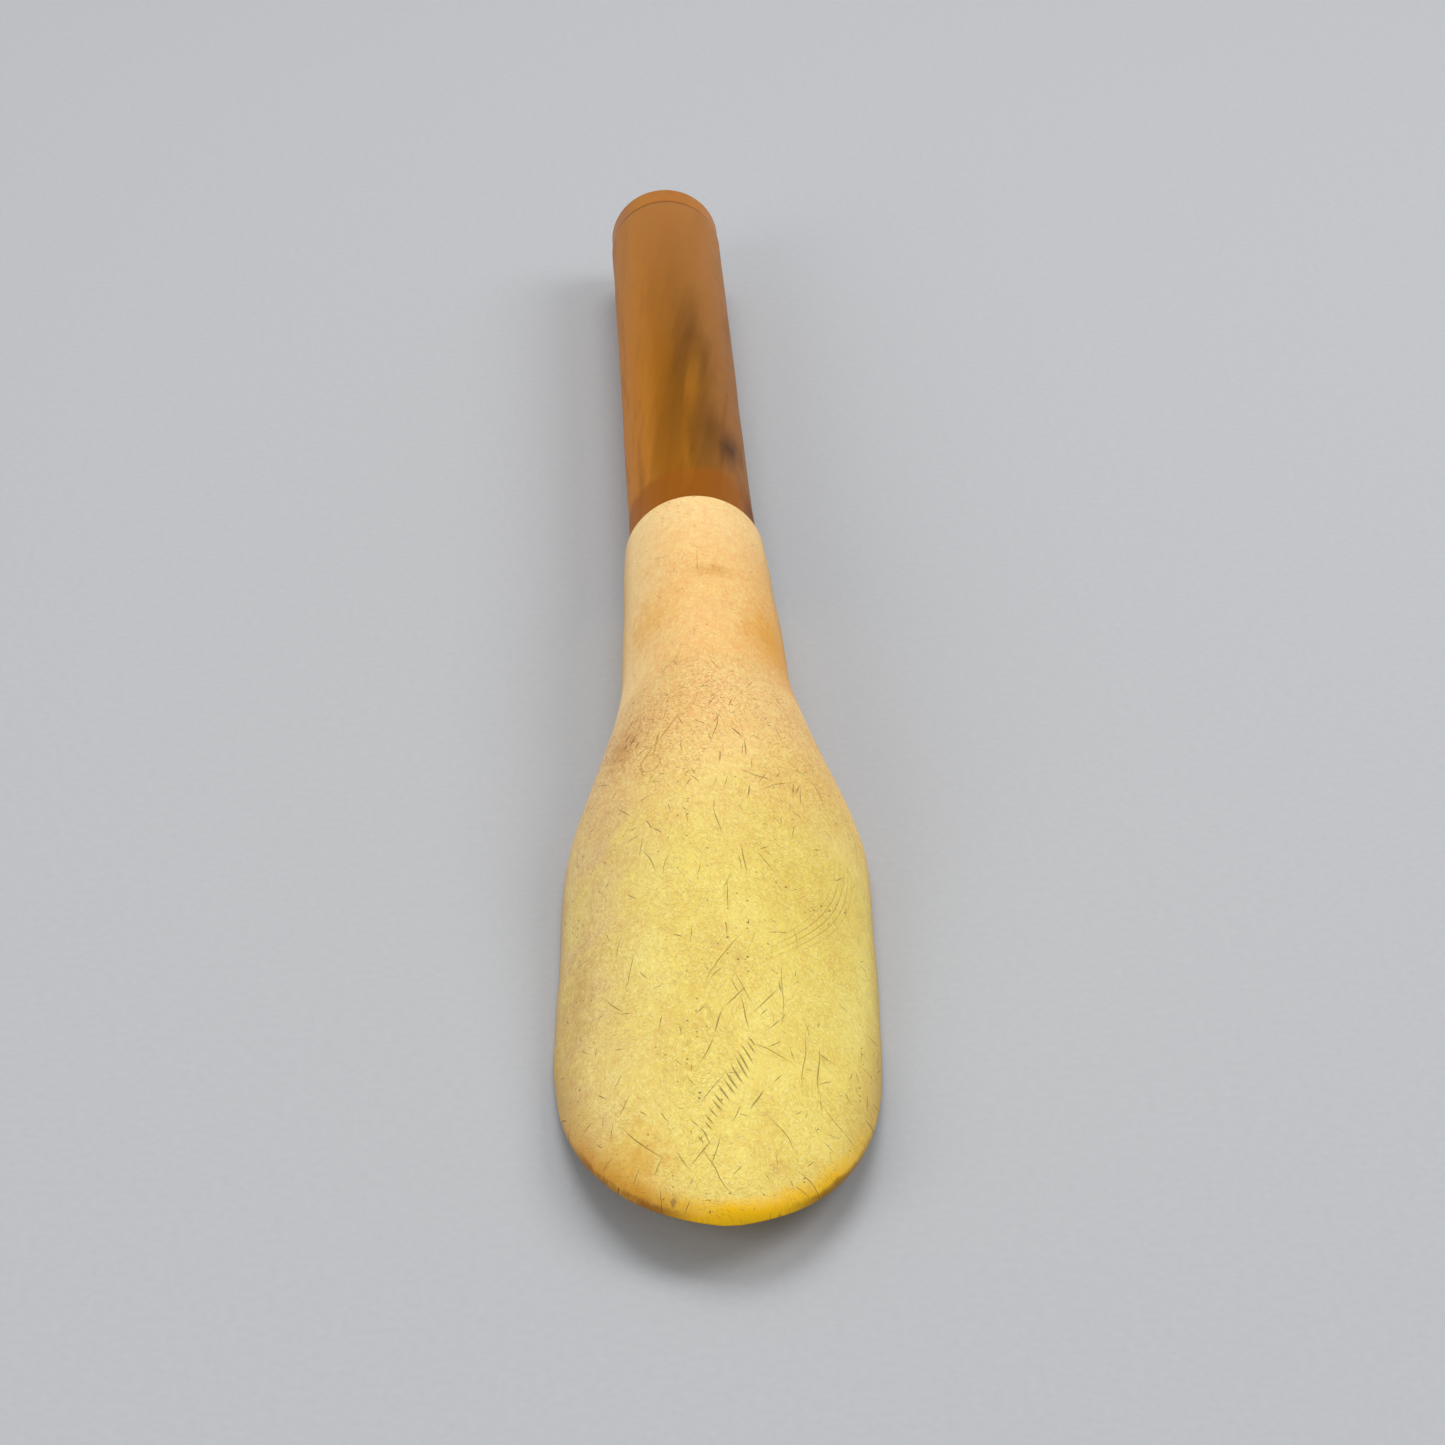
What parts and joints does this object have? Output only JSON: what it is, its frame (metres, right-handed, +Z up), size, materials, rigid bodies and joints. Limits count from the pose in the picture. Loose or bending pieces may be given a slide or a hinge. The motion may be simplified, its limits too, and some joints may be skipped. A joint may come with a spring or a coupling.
{
  "type": "long shoehorn",
  "caption": "Long shoehorn with a hollowed bone blade, a round collar and a straight round horn handle closed by a domed end cap.",
  "frame": {"origin": "middle of the object's box in X and Y, on the surface that it lies on", "axes": "+Y along the handle away from the blade's tip, +Z up with the hollow of the blade facing down"},
  "size_m": [0.0432, 0.3004, 0.0219],
  "materials": {
    "bone": "polished bone with fine scratches and pores",
    "horn": "polished translucent horn with dark streaks",
    "dowel_wood": "plain turned wood",
    "amber": "polished amber-coloured horn"
  },
  "bodies": {
    "root": {"blade": "bone", "handle": "horn", "joint_dowel": "dowel_wood", "end_cap": "amber"}
  },
  "joints": []
}
